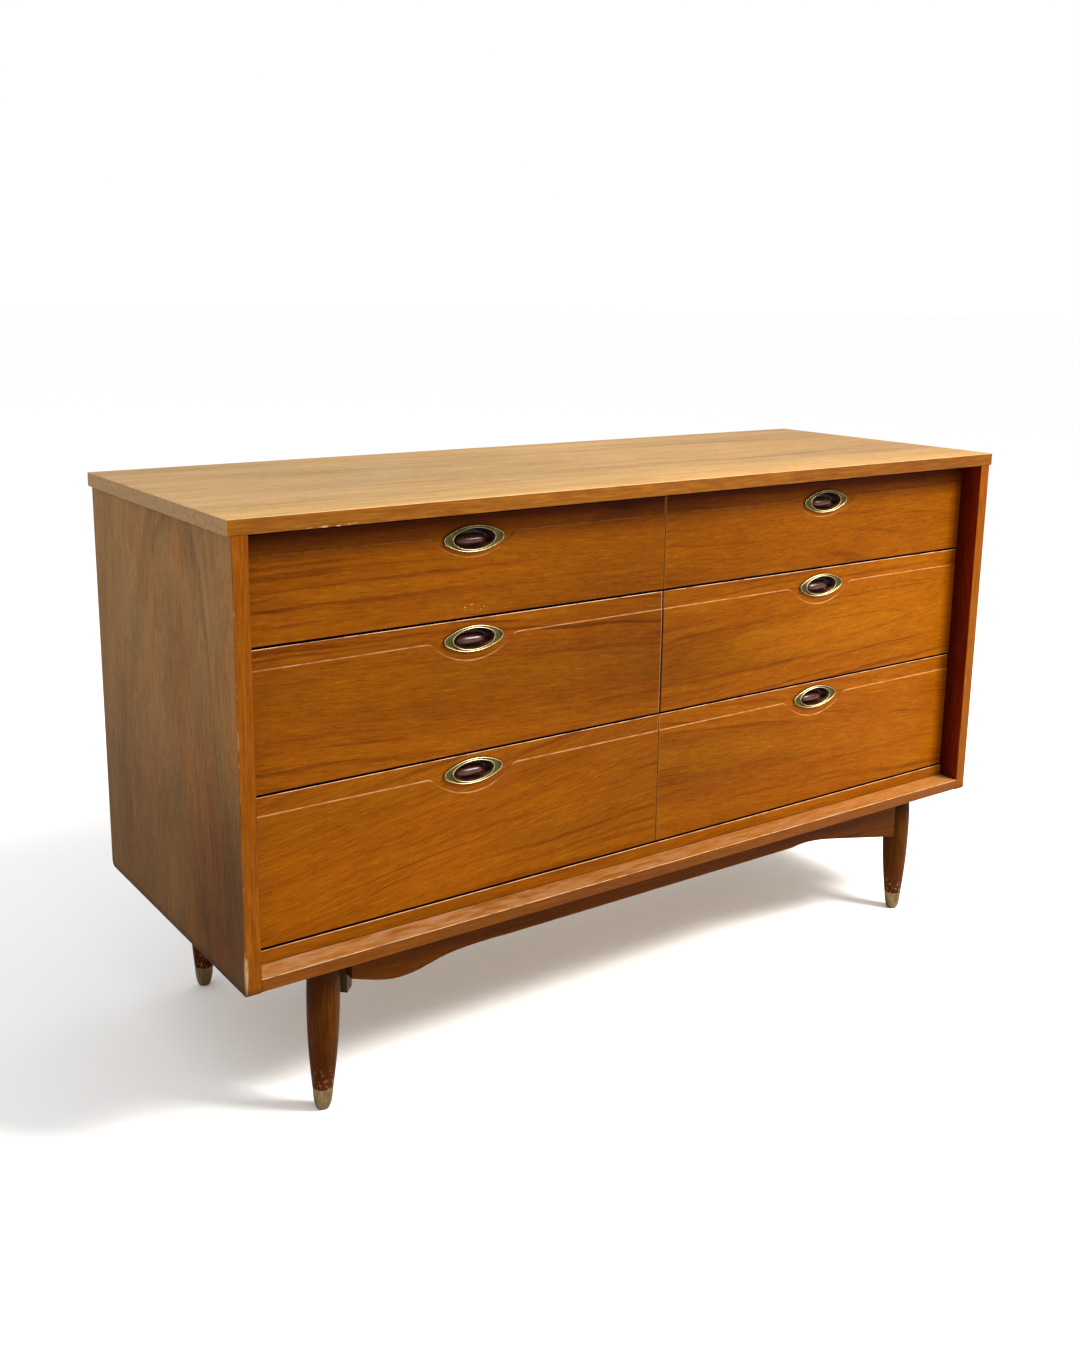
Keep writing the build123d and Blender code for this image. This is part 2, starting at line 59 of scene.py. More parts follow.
# ---------------------------------------------------------------- node graph helpers
class Graph:
    """One material's node tree, with short calls for the nodes used here."""

    def __init__(self, name):
        self.material = bpy.data.materials.new(name)
        self.material.use_nodes = True
        self.tree = self.material.node_tree
        self.tree.nodes.clear()
        self.output = self.tree.nodes.new("ShaderNodeOutputMaterial")
        self.shader = self.tree.nodes.new("ShaderNodeBsdfPrincipled")
        self.link(self.shader.outputs["BSDF"], self.output.inputs["Surface"])

    def link(self, value, socket):
        """Connect an output to a socket, or set the socket to a constant."""
        if isinstance(value, bpy.types.NodeSocket):
            self.tree.links.new(value, socket)
        else:
            socket.default_value = value

    def finish(self, **values):
        """Set or connect the shader's sockets and return the material."""
        for key, value in values.items():
            self.link(value, self.shader.inputs[key.replace("_", " ")])
        return self.material

    def math(self, operation, a, b=0.0):
        node = self.tree.nodes.new("ShaderNodeMath")
        node.operation = operation
        self.link(a, node.inputs[0])
        self.link(b, node.inputs[1])
        return node.outputs[0]

    def vector_math(self, operation, a, b):
        node = self.tree.nodes.new("ShaderNodeVectorMath")
        node.operation = operation
        self.link(a, node.inputs[0])
        self.link(b, node.inputs[1])
        return node.outputs["Vector"]

    def combine(self, x, y, z):
        node = self.tree.nodes.new("ShaderNodeCombineXYZ")
        for socket, value in zip(node.inputs, (x, y, z)):
            self.link(value, socket)
        return node.outputs["Vector"]

    def split(self, vector):
        node = self.tree.nodes.new("ShaderNodeSeparateXYZ")
        self.link(vector, node.inputs[0])
        return node.outputs[0], node.outputs[1], node.outputs[2]

    def place(self):
        """The point on the piece, in metres, before the piece moves."""
        return self.tree.nodes.new("ShaderNodeTexCoord").outputs["Object"]

    def noise(self, vector, stretch, detail=3.0, roughness=0.5, distortion=0.0):
        """Smooth noise from 0 to 1; stretch is how often it changes per metre on each axis."""
        node = self.tree.nodes.new("ShaderNodeTexNoise")
        self.link(self.vector_math("MULTIPLY", vector, stretch), node.inputs["Vector"])
        node.inputs["Scale"].default_value = 1.0
        node.inputs["Detail"].default_value = detail
        node.inputs["Roughness"].default_value = roughness
        node.inputs["Distortion"].default_value = distortion
        return node.outputs[0]

    def cells(self, vector, stretch):
        """Distance from the middle of random cells."""
        node = self.tree.nodes.new("ShaderNodeTexVoronoi")
        self.link(self.vector_math("MULTIPLY", vector, stretch), node.inputs["Vector"])
        node.inputs["Scale"].default_value = 1.0
        return node.outputs["Distance"]

    def window(self, value, low, high, start=0.0, end=1.0):
        """Smooth step from start to end as value goes from low to high."""
        node = self.tree.nodes.new("ShaderNodeMapRange")
        node.interpolation_type = "SMOOTHSTEP"
        for socket, number in zip(node.inputs, (value, low, high, start, end)):
            self.link(number, socket)
        return node.outputs[0]

    def ramp(self, value, stops):
        """Colours blended along 0 to 1."""
        node = self.tree.nodes.new("ShaderNodeValToRGB")
        while len(node.color_ramp.elements) < len(stops):
            node.color_ramp.elements.new(0.5)
        for element, (at, colour) in zip(node.color_ramp.elements, stops):
            element.position = at
            element.color = (*colour, 1.0)
        self.link(value, node.inputs[0])
        return node.outputs[0]

    def mix(self, share, a, b, blend="MIX"):
        """Blend colour a towards colour b by share."""
        node = self.tree.nodes.new("ShaderNodeMix")
        node.data_type = "RGBA"
        node.blend_type = blend
        self.link(share, node.inputs[0])
        for socket, colour in ((node.inputs[6], a), (node.inputs[7], b)):
            value = (*colour, 1.0) if isinstance(colour, tuple) else colour
            self.link(value, socket)
        return node.outputs[2]

    def bump(self, height, distance, strength=1.0):
        node = self.tree.nodes.new("ShaderNodeBump")
        node.inputs["Strength"].default_value = strength
        node.inputs["Distance"].default_value = distance
        self.link(height, node.inputs["Height"])
        return node.outputs["Normal"]

    def tint(self, share, colour, by):
        """Multiply a colour by another, by share."""
        return self.mix(share, colour, by, "MULTIPLY")

    def product(self, first, *shares):
        """Several shares multiplied together."""
        for share in shares:
            first = self.math("MULTIPLY", first, share)
        return first

    def near(self, coordinate, at, reach):
        """1 where a coordinate equals at, fading to 0 at reach."""
        gap = self.math("ABSOLUTE", self.math("SUBTRACT", coordinate, at))
        return self.window(gap, 0.0, reach, 1.0, 0.0)

    def patch(self, point, middle, size):
        """1 in the middle of a soft oval patch, 0 outside it."""
        offset = self.vector_math("DIVIDE", self.vector_math("SUBTRACT", point, middle), size)
        node = self.tree.nodes.new("ShaderNodeVectorMath")
        node.operation = "LENGTH"
        self.link(offset, node.inputs[0])
        return self.window(node.outputs["Value"], 0.35, 1.0, 1.0, 0.0)


# ---------------------------------------------------------------- wood
# names that end in TONES hold dark to light, and names that end in TINT multiply a colour
TRIM_TONES = ((0.09, 0.022, 0.0006), (0.15, 0.040, 0.0012), (0.21, 0.066, 0.004))
OLIVE_TINT = (0.74, 0.84, 0.80)
PORE_TINT = (0.45, 0.38, 0.30)
PALE = (0.86, 0.56, 0.37)
PEACH = (0.60, 0.35, 0.14)
BARE_WOOD = (0.46, 0.31, 0.15)
# painted shade for the faces inside the gaps and creases between parts
GAP_SHADE = (0.010, 0.0025, 0.001)


class Board(Graph):
    """A wood finish: grain runs along one axis, growth rings show across another."""

    def __init__(self, name, along, across, seed, lean=0.0):
        super().__init__(name)
        self.point = self.place()
        self.x, self.y, self.z = self.split(self.point)
        depth = ({"x", "y", "z"} - {along, across}).pop()
        self.along, self.across, self.depth = (getattr(self, axis) for axis in (along, across, depth))
        self.across = self.math("ADD", self.across, self.product(self.along, lean))
        shift = (1.7 * seed + 0.31, 0.83 * seed + 0.17, 0.47 * seed + 0.05)
        self.grain = self.vector_math("ADD", self.combine(self.along, self.across, self.depth), shift)

    def wave(self, vector, stretch, reach, detail=2.0, roughness=0.5):
        """Noise centred on 0 that reaches about half of reach each way."""
        noise = self.noise(vector, stretch, detail, roughness)
        return self.product(self.math("SUBTRACT", noise, 0.5), reach)

    def contour(self, heart, rise, slope, waver):
        """The grain point with its distance from the heart of the trunk in place of the distance across,
        so that what follows it runs in growth rings: straight far from the heart, arched near it."""
        sway = self.math("ADD", self.wave(self.grain, (1.6, 5.0, 5.0), waver),
                         self.wave(self.grain, (9.0, 26.0, 26.0), 0.2 * waver))
        self.bent = self.combine(self.along, self.math("ADD", self.across, sway), self.depth)
        across = self.math("ADD", self.math("SUBTRACT", self.across, heart), sway)
        height = self.math("ADD", self.product(self.along, slope), rise)
        squares = self.math("ADD", self.math("POWER", across, 2.0), self.math("POWER", height, 2.0))
        return self.combine(self.along, self.math("SQRT", squares), self.depth)

    def fibre_colour(self, tones):
        """Colour from the fibres alone, for edges and shaded faces."""
        return self.ramp(self.fibre, tuple(zip((0.2, 0.5, 0.8), tones)))

    def upright(self):
        """How far the surface faces up, -1 to 1."""
        node = self.tree.nodes.new("ShaderNodeNewGeometry")
        return self.split(node.outputs["True Normal"])[2]


def walnut(name, along, across, seed, tones, heart=0.0, rise=0.03, slope=0.10, waver=0.05, lean=0.0,
           bands=0.8, lines=0.25, streaks=0.6, fibres=1.0):
    """Walnut: soft bands and thin lines along the growth rings, streaks, short fibres and pores."""
    wood = Board(name, along, across, seed, lean)
    wood.rings = wood.contour(heart, rise, slope, waver)
    cloud = wood.wave(wood.grain, (1.5, 6.0, 6.0), 0.7, 3.0)
    band = wood.wave(wood.rings, (1.1, 24.0, 3.0), bands, 3.0, 0.6)
    line = wood.window(wood.noise(wood.rings, (2.0, 150.0, 9.0), 2.0), 0.52, 0.66)
    fade = wood.window(wood.noise(wood.grain, (2.4, 9.0, 9.0), 2.0), 0.36, 0.64)
    line = wood.product(line, fade, lines)
    streak = wood.wave(wood.rings, (5.0, 70.0, 70.0), streaks, 4.0, 0.6)
    wood.fibre = wood.noise(wood.grain, (24.0, 300.0, 300.0), 4.0, 0.65)
    fibre = wood.product(wood.math("SUBTRACT", wood.fibre, 0.5), fibres)
    tone = wood.math("ADD", wood.math("ADD", cloud, streak), wood.math("ADD", band, fibre))
    tone = wood.math("SUBTRACT", wood.math("ADD", tone, 0.5 + 0.12 * lines), line)
    colour = wood.ramp(tone, tuple(zip((0.0, 0.5, 1.0), tones)))
    hue = wood.window(wood.noise(wood.rings, (1.4, 14.0, 3.0), 2.0), 0.48, 0.70)
    colour = wood.tint(wood.product(hue, 0.5), colour, OLIVE_TINT)
    wood.pores = wood.window(wood.noise(wood.grain, (70.0, 1300.0, 1300.0), 1.0), 0.60, 0.72)
    colour = wood.tint(wood.product(wood.pores, 0.55), colour, PORE_TINT)
    return wood, colour


def flecked(wood, colour, stretch, contrast):
    """Short light and dark flecks that follow the sway of the grain."""
    fleck = wood.noise(wood.bent, stretch, 3.0, 0.7)
    light = (1.0 + contrast, 1.0 + 1.4 * contrast, 1.0 + 1.5 * contrast)
    dark = (1.0 - 0.8 * contrast, 1.0 - contrast, 1.0 - 1.1 * contrast)
    colour = wood.tint(wood.window(fleck, 0.54, 0.72), colour, light)
    return wood.tint(wood.window(fleck, 0.30, 0.46, 1.0, 0.0), colour, dark)


def worn_and_highlit_edges(wood, colour, pale, strength, start=0.3):
    """Lacquer worn pale on the rounded upper edges, in broken stretches, with a painted highlight where
    those edges face up.
    """
    facing_up = wood.upright()
    edge = wood.product(wood.window(facing_up, start, start + 0.35),
                        wood.window(facing_up, 0.93, 0.99, 1.0, 0.0))
    broken = wood.window(wood.noise(wood.point, (60.0, 60.0, 60.0), 3.0), 0.3, 0.62, 0.35, 1.0)
    return wood.mix(wood.product(edge, broken, strength), colour, pale)


def lacquer(wood, colour, gloss=0.38, specular=0.02):
    """Satin lacquer over the finished wood colour."""
    smear = wood.noise(wood.point, (7.0, 7.0, 7.0), 4.0)
    rough = wood.math("ADD", wood.product(smear, 0.16), gloss)
    rough = wood.math("ADD", rough, wood.product(wood.pores, 0.12))
    relief = wood.math("SUBTRACT", wood.product(wood.fibre, 0.35), wood.pores)
    return wood.finish(Base_Color=colour, Roughness=rough, Normal=wood.bump(relief, 0.06 * MM, 0.6),
                       Specular_IOR_Level=specular)


def set_material(node, material):
    """Give a CAD node one finish all over."""
    mesh = nodes[node].data
    mesh.materials.clear()
    mesh.materials.append(material)


def scaled(tones, share):
    """The same tones, all lighter or darker."""
    return tuple(tuple(share * c for c in tone) for tone in tones)


# ---------------------------------------------------------------- drawer fronts
FRONT_TONES = ((0.088, 0.019, 0.0003), (0.162, 0.0415, 0.0004), (0.228, 0.069, 0.0008))
GOLD_TINT = (1.10, 1.30, 1.20)
MIDDLE_SHADE_TINT = (0.76, 0.74, 0.72)
# painted shade of the top on the top row, and its darkest part
TOP_SHADE_TINT = (0.50, 0.36, 0.34)
DEEP_TOP_SHADE_TINT = (0.34, 0.20, 0.22)
BESIDE_PANEL_SHADE_TINT = (0.66, 0.48, 0.42)
SEAM_HIGHLIGHT = (0.42, 0.17, 0.03)
# how each drawer front was cut from the trunk: heart, rise, slope and lean of the grain, and its
# depth of tone
FRONT_CUTS = {
    ("top", "left"): (0.73, 0.06, 0.05, 0.03, 0.87),
    ("top", "right"): (0.60, 0.05, 0.08, -0.02, 0.90),
    ("middle", "left"): (0.52, 0.02, 0.07, 0.05, 0.94),
    ("middle", "right"): (0.50, -0.03, 0.09, -0.04, 1.02),
    ("bottom", "left"): (0.22, 0.09, 0.10, -0.16, 1.04),
    ("bottom", "right"): (0.36, 0.01, 0.06, 0.06, 1.08),
}
MIDDLE_SHADE_REACH = 400 * MM         # how far the painted shade toward the middle of the case reaches each way
TOP_SHADE_REACH = 48 * MM         # how far down the top row the painted shade of the top reaches
DEEP_TOP_SHADE_REACH = 16 * MM       # the same for its darkest part
BESIDE_PANEL_REACH = 34 * MM    # how far the painted shade of the right side panel reaches
TOP_ROW_WEAR_AND_HIGHLIGHT = 0.26             # how pale the worn arrises and their painted highlight are
LOWER_ROWS_WEAR_AND_HIGHLIGHT = 0.42


def front_figure(row, column, seed):
    """The veneer of one front: its own cut, golden patches and flecks, with painted shade toward the middle.
    """
    heart, rise, slope, lean, depth = FRONT_CUTS[row, column]
    wood, colour = walnut(f"walnut_front_{row}_{column}", "x", "z", seed, scaled(FRONT_TONES, depth),
                          heart=heart, rise=rise, slope=slope, lean=lean,
                          bands=0.65, lines=0.4, streaks=0.35, fibres=0.9)
    gold = wood.window(wood.noise(wood.grain, (9.0, 60.0, 60.0), 3.0, 0.6), 0.50, 0.68, 0.0, 0.55)
    colour = wood.tint(gold, colour, GOLD_TINT)
    colour = flecked(wood, colour, (55.0, 400.0, 400.0), 0.24)
    # painted shade, darker toward the middle of the case
    middle = wood.window(wood.math("ABSOLUTE", wood.x), 0.0, MIDDLE_SHADE_REACH, 0.9, 0.0)
    return wood, wood.tint(middle, colour, MIDDLE_SHADE_TINT)


def painted_top_shade(wood, colour, high):
    """Painted shade on the upper part of the top row, under the overhang."""
    top_shade = wood.window(wood.z, high.z - TOP_SHADE_REACH, high.z - 4 * MM, 0.0, 0.9)
    colour = wood.tint(top_shade, colour, TOP_SHADE_TINT)
    under = wood.window(wood.z, high.z - DEEP_TOP_SHADE_REACH, high.z - 3 * MM, 0.0, 0.8)
    return wood.tint(under, colour, DEEP_TOP_SHADE_TINT)


def upper_edge_highlight(wood, colour, high):
    """A thin pale line along the upper edge, a painted highlight with rubbed lacquer in places, and painted
    shade on the level face behind it in the gap.
    """
    level = wood.window(wood.upright(), 0.80, 0.95)
    rub_and_highlight = wood.window(wood.noise(wood.point, (35.0, 35.0, 35.0), 3.0), 0.32, 0.6, 0.2, 0.85)
    upper = wood.window(wood.z, high.z - 0.8 * MM, high.z - 0.4 * MM)
    colour = wood.mix(wood.product(upper, rub_and_highlight), colour, PALE)
    return wood.mix(wood.product(upper, level), colour, GAP_SHADE)


def seam_edge(wood, colour, row, column, seam):
    """The edge where two fronts meet: a painted amber highlight, but painted shade in the gap with a pale
    painted highlight beside it in the middle row.
    """
    if row != "middle":
        return wood.mix(wood.product(wood.near(wood.x, seam, 1.3 * MM), 0.5), colour, SEAM_HIGHLIGHT)
    if column == "left":
        colour = wood.mix(wood.product(wood.near(wood.x, seam, 1.6 * MM), 0.55), colour, PALE)
    return wood.mix(wood.near(wood.x, seam, 0.8 * MM), colour, GAP_SHADE)


def scratches(wood, colour, low, high):
    """Short pale nicks near the lower edge, above the pull of the drawer below."""
    middle = ((low.x + high.x) / 2 + 4 * MM, low.y, low.z + 14 * MM)
    area = wood.patch(wood.point, middle, (46 * MM, 20 * MM, 13 * MM))
    nick = wood.window(wood.noise(wood.point, (150.0, 150.0, 420.0), 2.0, 0.6, 1.2), 0.66, 0.70, 0.0, 0.7)
    return wood.mix(wood.product(area, nick), colour, PEACH)


def front_finish(row, column, seed):
    """One drawer front: its veneer, wear and painted highlights on its edges, and painted shade under the
    top, in its gaps and near the right side panel.
    """
    low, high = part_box(f"drawer_front_{row}_{column}")
    wood, colour = front_figure(row, column, seed)
    wear = TOP_ROW_WEAR_AND_HIGHLIGHT if row == "top" else LOWER_ROWS_WEAR_AND_HIGHLIGHT
    # worn lacquer and a painted highlight on the routed line and the rounded edges
    colour = worn_and_highlit_edges(wood, colour, PEACH, wear, start=0.5)
    if row == "top":
        colour = painted_top_shade(wood, colour, high)
    else:
        colour = upper_edge_highlight(wood, colour, high)
    if row != "bottom":
        # painted shade along the lower edge, in the gap over the next row
        lower = wood.window(wood.z, low.z + 0.5 * MM, low.z + 1.3 * MM, 1.0, 0.0)
        colour = wood.mix(lower, colour, GAP_SHADE)
    colour = seam_edge(wood, colour, row, column, high.x if column == "left" else low.x)
    if column == "right":
        # painted shade of the right side panel on the right fronts
        beside = wood.window(wood.x, high.x - BESIDE_PANEL_REACH, high.x, 0.0, 0.85)
        colour = wood.tint(beside, colour, BESIDE_PANEL_SHADE_TINT)
    if (row, column) == ("top", "left"):
        colour = scratches(wood, colour, low, high)
    return lacquer(wood, colour)


def finish_fronts():
    """Each drawer front gets a veneer of its own."""
    fronts = [(row, column) for row in ROWS for column in COLUMNS]
    for seed, (row, column) in enumerate(fronts, start=1):
        set_material(f"drawer_front_{row}_{column}", front_finish(row, column, seed))


# ---------------------------------------------------------------- top
TOP_TONES = ((0.21, 0.105, 0.022), (0.30, 0.165, 0.042), (0.38, 0.220, 0.066))
TOP_EDGE_TONES = ((0.085, 0.022, 0.0006), (0.15, 0.047, 0.001), (0.22, 0.085, 0.005))
TOP_END_TONES = ((0.16, 0.080, 0.024), (0.25, 0.135, 0.045), (0.34, 0.195, 0.075))
FRONT_SHEEN_TINT = (1.42, 1.34, 1.16)
SMOKE_TINT = (0.78, 0.80, 0.86)
TOP_RIGHT_TINT = (0.84, 0.80, 0.78)
TOP_EDGE_RIGHT_TINT = (0.80, 0.74, 0.70)
FRONT_SHEEN_REACH = 120 * MM
SPLINTER_INSET = 150 * MM       # from the left end of the top to the middle of the torn stretch


def splinters(wood, colour):
    """Veneer torn away in slivers along the lower front edge of the top, near the left end."""
    middle = (TOP_LOW.x + SPLINTER_INSET, TOP_LOW.y, TOP_LOW.z)
    area = wood.patch(wood.point, middle, (75 * MM, 10 * MM, 3.6 * MM))
    tear = wood.window(wood.noise(wood.point, (75.0, 200.0, 330.0), 3.0, 0.6), 0.54, 0.64, 0.0, 0.8)
    return wood.mix(wood.product(area, tear), colour, BARE_WOOD)


def slab_edge(wood):
    """The edge of the slab: amber along the front and back, brown at the ends, darker to the right."""
    at_end = wood.window(wood.math("ABSOLUTE", wood.x), TOP_HIGH.x - 1.4 * MM, TOP_HIGH.x - 0.8 * MM)
    edge = wood.mix(at_end, wood.fibre_colour(TOP_EDGE_TONES), wood.fibre_colour(TOP_END_TONES))
    edge = wood.tint(wood.window(wood.x, -0.1, 0.5), edge, TOP_EDGE_RIGHT_TINT)
    return splinters(wood, edge)


def top_finish():
    """The slab: long streaks, lighter along the front with painted sheen, smoky near the middle, with a few
    dark specks.
    """
    wood, colour = walnut("walnut_top", "x", "y", 11, TOP_TONES, heart=0.02, rise=0.05, slope=0.05,
                          bands=1.3, streaks=0.9, fibres=1.4)
    colour = flecked(wood, colour, (9.0, 230.0, 230.0), 0.10)
    # painted sheen, lighter toward the front edge
    front_sheen = wood.window(wood.y, TOP_LOW.y, TOP_LOW.y + FRONT_SHEEN_REACH, 0.6, 0.0)
    colour = wood.tint(front_sheen, colour, FRONT_SHEEN_TINT)
    colour = wood.tint(wood.window(wood.x, 0.0, 0.6, 0.0, 0.9), colour, TOP_RIGHT_TINT)
    smoke = wood.patch(wood.point, (TOP_LOW.x / 3, 0.02, TOP_HIGH.z), (0.52, 0.16, 0.1))
    wisp = wood.window(wood.noise(wood.rings, (1.2, 22.0, 3.0), 3.0), 0.4, 0.62)
    colour = wood.tint(wood.product(smoke, wisp, 0.6), colour, SMOKE_TINT)
    speck = wood.window(wood.cells(wood.point, (42.0, 42.0, 42.0)), 0.05, 0.075, 1.0, 0.0)
    colour = wood.tint(wood.product(speck, 0.55), colour, PORE_TINT)
    colour = wood.mix(wood.window(wood.upright(), 0.2, 0.6, 1.0, 0.0), colour, slab_edge(wood))
    # worn lacquer and a painted highlight on the front arris of the slab
    colour = worn_and_highlit_edges(wood, colour, PALE, 0.35)
    return lacquer(wood, colour, gloss=0.36, specular=0.08)


# ---------------------------------------------------------------- side panels
SIDE_TONES = ((0.13, 0.061, 0.017), (0.21, 0.106, 0.033), (0.275, 0.148, 0.052))
RECESS_SHADE_TONES = ((0.055, 0.0035, 0.0004), (0.100, 0.0085, 0.0008), (0.150, 0.018, 0.0015))
BLOT_TINT = (0.64, 0.60, 0.54)
RUDDY_TINT = (1.14, 0.94, 0.74)
LOW_TINT = (0.52, 0.44, 0.28)
CORNER_TINT = (0.55, 0.42, 0.28)
DEEP_SHADE_TINT = (0.42, 0.34, 0.34)
SIDE_FOOT_TINT = (0.36, 0.36, 0.40)
CHIP = (0.30, 0.19, 0.085)
RECESS_DEPTH = 32 * MM          # from the front edges to where the painted shade on the inner faces is darkest
CHIP_RISE = 32 * MM             # from the foot of the panel to the middle of the chip


def side_figure(side, seed):
    """Mottled walnut: blots, ruddy patches that fade toward the back, and flecks."""
    wood, colour = walnut(f"walnut_side_{side}", "z", "y", seed, SIDE_TONES, heart=-0.03, rise=0.0,
                          slope=0.22, bands=0.8, lines=0.25, streaks=0.4, waver=0.09)
    blot = wood.window(wood.noise(wood.grain, (9.0, 22.0, 22.0), 4.0, 0.62), 0.38, 0.66, 0.0, 0.4)
    colour = wood.tint(blot, colour, BLOT_TINT)
    ruddy = wood.window(wood.noise(wood.grain, (4.0, 13.0, 13.0), 3.0), 0.42, 0.62, 0.0, 0.9)
    ruddy = wood.product(ruddy, wood.window(wood.y, SIDE_LOW.y, SIDE_HIGH.y, 1.0, 0.2))
    colour = wood.tint(ruddy, colour, RUDDY_TINT)
    return wood, flecked(wood, colour, (60.0, 330.0, 330.0), 0.25)


def side_shade(wood, colour):
    """Darker toward the floor, and more so near the left panel's lower front corner."""
    low = wood.window(wood.z, SIDE_LOW.z - 20 * MM, SIDE_HIGH.z, 1.0, 0.0)
    colour = wood.tint(low, colour, LOW_TINT)
    corner = wood.patch(wood.point, tuple(SIDE_LOW), (0.2, 0.22, 0.34))
    return wood.tint(wood.product(corner, 0.7), colour, CORNER_TINT)


def side_edges(wood, colour):
    """An amber front edge, an inner face painted in shade that darkens with depth, and a darker foot."""
    front = wood.window(wood.y, SIDE_LOW.y + 1.0 * MM, SIDE_LOW.y + 2.0 * MM, 1.0, 0.0)
    colour = wood.mix(front, colour, wood.fibre_colour(TRIM_TONES))
    # painted shade on the inner face, deeper away from the front
    deep = wood.window(wood.y, SIDE_LOW.y, SIDE_LOW.y + RECESS_DEPTH)
    shade = wood.tint(deep, wood.fibre_colour(RECESS_SHADE_TONES), DEEP_SHADE_TINT)
    inside = wood.math("SUBTRACT", RIGHT_LOW.x + 1.0 * MM, wood.math("ABSOLUTE", wood.x))
    colour = wood.mix(wood.window(inside, 0.0, 0.5 * MM), colour, shade)
    # darker along the foot of the panel
    darker_foot = wood.window(wood.z, SIDE_LOW.z + 2 * MM, SIDE_LOW.z + 14 * MM, 0.7, 0.0)
    return wood.tint(darker_foot, colour, SIDE_FOOT_TINT)


def rubbed_corner(wood, colour):
    """Worn spots down the outer front corner of a side panel, and a long chip at the left one's foot."""
    outer = wood.window(wood.math("ABSOLUTE", wood.x), RIGHT_HIGH.x - 1.6 * MM, RIGHT_HIGH.x - 0.9 * MM)
    front = wood.window(wood.y, SIDE_LOW.y + 1.0 * MM, SIDE_LOW.y + 1.8 * MM, 1.0, 0.0)
    edge = wood.product(outer, front)
    spot = wood.window(wood.noise(wood.point, (90.0, 90.0, 45.0), 2.0), 0.56, 0.66)
    worn = wood.math("ADD", wood.product(spot, 0.25), 0.03)
    colour = wood.mix(wood.product(edge, worn), colour, BARE_WOOD)
    foot = (SIDE_LOW.x, SIDE_LOW.y, SIDE_LOW.z + CHIP_RISE)
    chip = wood.patch(wood.point, foot, (4.5 * MM, 6.0 * MM, 34.0 * MM))
    ragged = wood.window(wood.noise(wood.point, (160.0, 160.0, 70.0), 3.0), 0.36, 0.44)
    return wood.mix(wood.product(chip, ragged), colour, CHIP)


def side_finish(side, seed):
    """One side panel: its veneer, the shade on it, its edges and the wear at its front corner."""
    wood, colour = side_figure(side, seed)
    colour = side_shade(wood, colour)
    colour = side_edges(wood, colour)
    colour = rubbed_corner(wood, colour)
    return lacquer(wood, colour)


# ---------------------------------------------------------------- ledge, rail and legs
LEG_TONES = ((0.020, 0.0050, 0.0002), (0.062, 0.0165, 0.0005), (0.115, 0.036, 0.0012))
LEDGE_TOP_FADE_AND_SHEEN_TINT = (2.1, 2.6, 8.0)
LEDGE_FACE_TINT = (0.82, 0.82, 0.6)
LEDGE_FADE_AND_SHEEN = (0.36, 0.205, 0.105)
LEDGE_ARRIS_WEAR_AND_HIGHLIGHT = (0.62, 0.40, 0.20)
RAIL_TINT = (1.05, 1.10, 1.0)
MOTTLE_TINT = (0.52, 0.42, 0.40)
LEG_TOP_SHADE_TINT = (0.50, 0.48, 0.44)
LEG_FOOT_TINT = (0.80, 0.50, 0.45)
LEG_BARE = (0.27, 0.15, 0.07)


def ledge_finish():
    """The ledge under the drawers: a pale level top, partly fading of the finish and partly painted sheen, a
    worn arris with a painted highlight and a darker front face.
    """
    wood, colour = walnut("walnut_ledge", "x", "z", 14, TRIM_TONES, bands=1.2)
    flat = wood.window(wood.upright(), 0.9, 0.98)
    # the level top painted pale, fading and painted sheen together, with paler streaks
    pale = wood.tint(1.0, colour, LEDGE_TOP_FADE_AND_SHEEN_TINT)
    fade_and_sheen = wood.window(wood.noise(wood.point, (22.0, 90.0, 22.0), 5.0, 0.7), 0.36, 0.66)
    fade_and_sheen = wood.product(fade_and_sheen, wood.window(wood.x, LEDGE_LOW.x, 0.1, 0.8, 0.4))
    pale = wood.mix(fade_and_sheen, pale, LEDGE_FADE_AND_SHEEN)
    colour = wood.tint(1.0, colour, LEDGE_FACE_TINT)
    colour = wood.mix(flat, colour, pale)
    # worn lacquer and a painted highlight on the front arris
    colour = worn_and_highlit_edges(wood, colour, LEDGE_ARRIS_WEAR_AND_HIGHLIGHT, 0.75)
    return lacquer(wood, colour, specular=0.05)


def rail_finish():
    """The amber strip between the ledge and the lowest drawers, with painted shade at its foot and on its
    level top in the gap under them, and worn lacquer with a painted highlight on its upper arris.
    """
    wood, colour = walnut("walnut_rail", "x", "z", 24, scaled(TRIM_TONES, 1.35))
    colour = wood.tint(1.0, colour, RAIL_TINT)
    # painted shade in the crease above the ledge
    crease_shade = wood.window(wood.z, LEDGE_HIGH.z, LEDGE_HIGH.z + 1.8 * MM, 0.8, 0.0)
    colour = wood.mix(crease_shade, colour, GAP_SHADE)
    # painted shade on the level top, in the gap under the drawers
    level = wood.window(wood.upright(), 0.80, 0.95)
    # worn lacquer and a painted highlight on the upper arris
    colour = worn_and_highlit_edges(wood, colour, PALE, 0.8, start=0.35)
    colour = wood.mix(level, colour, GAP_SHADE)
    return lacquer(wood, colour)


